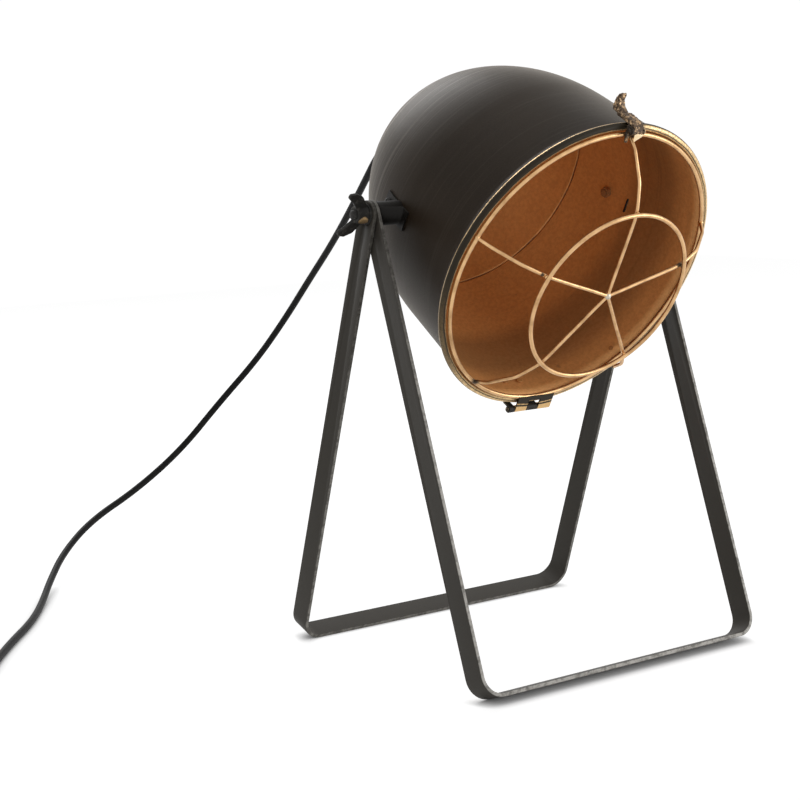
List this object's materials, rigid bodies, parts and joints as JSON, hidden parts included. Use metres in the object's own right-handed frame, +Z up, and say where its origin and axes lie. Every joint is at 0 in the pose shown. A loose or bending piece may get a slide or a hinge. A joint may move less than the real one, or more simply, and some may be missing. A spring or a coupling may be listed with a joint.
{
  "type": "tabletop searchlight lamp",
  "caption": "Table lamp with a spun dome head and hinged wire guard, hung on wing-nut pivots between folding flat-bar frames, with mains cord, in-line switch and plug.",
  "frame": {"origin": "on the table, midway across the stand and midway between the lamp's front and back, without the cord", "axes": "+Z up, the head's opening faces -Y, +X to the right seen from the front of the opening's back, along the pivots"},
  "size_m": [0.6294, 0.5772, 0.4066],
  "materials": {
    "frame_paint": "satin powder coat, dark olive grey",
    "shade_paint": "satin enamel, charcoal outside and bronze brown inside",
    "bracket_paint": "satin enamel",
    "wing_nut_paint": "satin black, brass where worn",
    "washer_steel": "blackened steel",
    "guard_brass": "drawn wire, lacquered",
    "bright_brass": "polished",
    "dark_brass": "antique, dull",
    "holder_plastic": "moulded",
    "ceramic": "glazed ceramic",
    "socket_brass": "bright",
    "nut_steel": "zinc plated",
    "cord_sheath": "satin sheath",
    "relief_rubber": "matte",
    "core_copper": "insulated cores",
    "tie_plastic": "soft band",
    "switch_plastic": "fine texture",
    "switch_metal": "zinc plated",
    "plug_plastic": "moulded",
    "pin_metal": "nickel plated"
  },
  "bodies": {
    "stand_rear": {"rear_frame": "frame_paint", "clamp_washers": "washer_steel", "cord_table": "cord_sheath", "cord_lead": "cord_sheath", "cord_coil": "cord_sheath", "cord_tail": "cord_sheath", "cord_tie": "tie_plastic", "plug_body": "plug_plastic", "plug_pins": "pin_metal", "switch_base": "switch_plastic", "switch_cover": "switch_plastic", "switch_screws": "switch_metal", "switch_contacts": "switch_metal"},
    "stand_front": {"front_frame": "frame_paint"},
    "wing_nut_left": {"wing_nut_left": "wing_nut_paint"},
    "wing_nut_right": {"wing_nut_right": "wing_nut_paint"},
    "guard": {"guard_rim_ring": "guard_brass", "guard_front_ring": "guard_brass", "guard_hub": "guard_brass", "guard_catch_tab": "bright_brass", "guard_hinge_leaf": "bright_brass", "latch_base": "dark_brass", "latch_pin": "dark_brass", "guard_spoke_1": "guard_brass", "guard_spoke_2": "guard_brass", "guard_spoke_3": "guard_brass", "guard_spoke_4": "guard_brass", "guard_spoke_5": "guard_brass"},
    "latch": {"latch_lever": "dark_brass"},
    "rocker": {"switch_rocker": "switch_plastic"},
    "head": {"bracket_nuts": "washer_steel", "bracket_screws": "washer_steel", "centre_contact": "socket_brass", "cord_hanging": "cord_sheath", "cord_inside": "cord_sheath", "cord_nipple": "socket_brass", "core_wires": "core_copper", "crown_nut": "nut_steel", "friction_washers": "washer_steel", "hinge_bracket": "dark_brass", "hinge_pin": "dark_brass", "hinge_rivets": "dark_brass", "inner_lock_nut": "nut_steel", "lampholder_cap": "holder_plastic", "lampholder_skirt": "holder_plastic", "pivot_bracket_left": "bracket_paint", "pivot_bracket_right": "bracket_paint", "pivot_stud_left": "washer_steel", "pivot_stud_right": "washer_steel", "rim_knob": "dark_brass", "shade_barrel": "shade_paint", "shade_crown": "shade_paint", "socket_insert": "ceramic", "socket_shell": "socket_brass", "strain_relief": "relief_rubber", "terminals": "socket_brass"}
  },
  "joints": [
    {"name": "leg_fold", "type": "hinge", "parent": "stand_rear", "child": "stand_front", "pos_m": [0, 0.00677, 0.31], "axis": [1, 0, 0], "range_deg": [-15, 34]},
    {"name": "head_tilt", "type": "hinge", "parent": "stand_rear", "child": "head", "pos_m": [0, 0.00677, 0.31], "axis": [1, 0, 0], "range_deg": [-80, 50], "deforming": ["cord_hanging"]},
    {"name": "wing_turn_left", "type": "hinge", "parent": "head", "child": "wing_nut_left", "pos_m": [-0.1293, 0.00677, 0.31], "axis": [1, 0, 0], "continuous": true},
    {"name": "wing_turn_right", "type": "hinge", "parent": "head", "child": "wing_nut_right", "pos_m": [0.1293, 0.00677, 0.31], "axis": [1, 0, 0], "continuous": true},
    {"name": "guard_swing", "type": "hinge", "parent": "head", "child": "guard", "pos_m": [0, -0.0063, 0.16998], "axis": [1, 0, 0], "range_deg": [0, 90]},
    {"name": "latch_lift", "type": "hinge", "parent": "guard", "child": "latch", "pos_m": [0, -0.11946, 0.35864], "axis": [1, 0, 0], "range_deg": [0, 45]},
    {"name": "rocker_press", "type": "hinge", "parent": "stand_rear", "child": "rocker", "pos_m": [-0.425, 0.17737, 0.0124], "axis": [-0.3907, -0.9205, 0], "range_deg": [0, 14]}
  ]
}
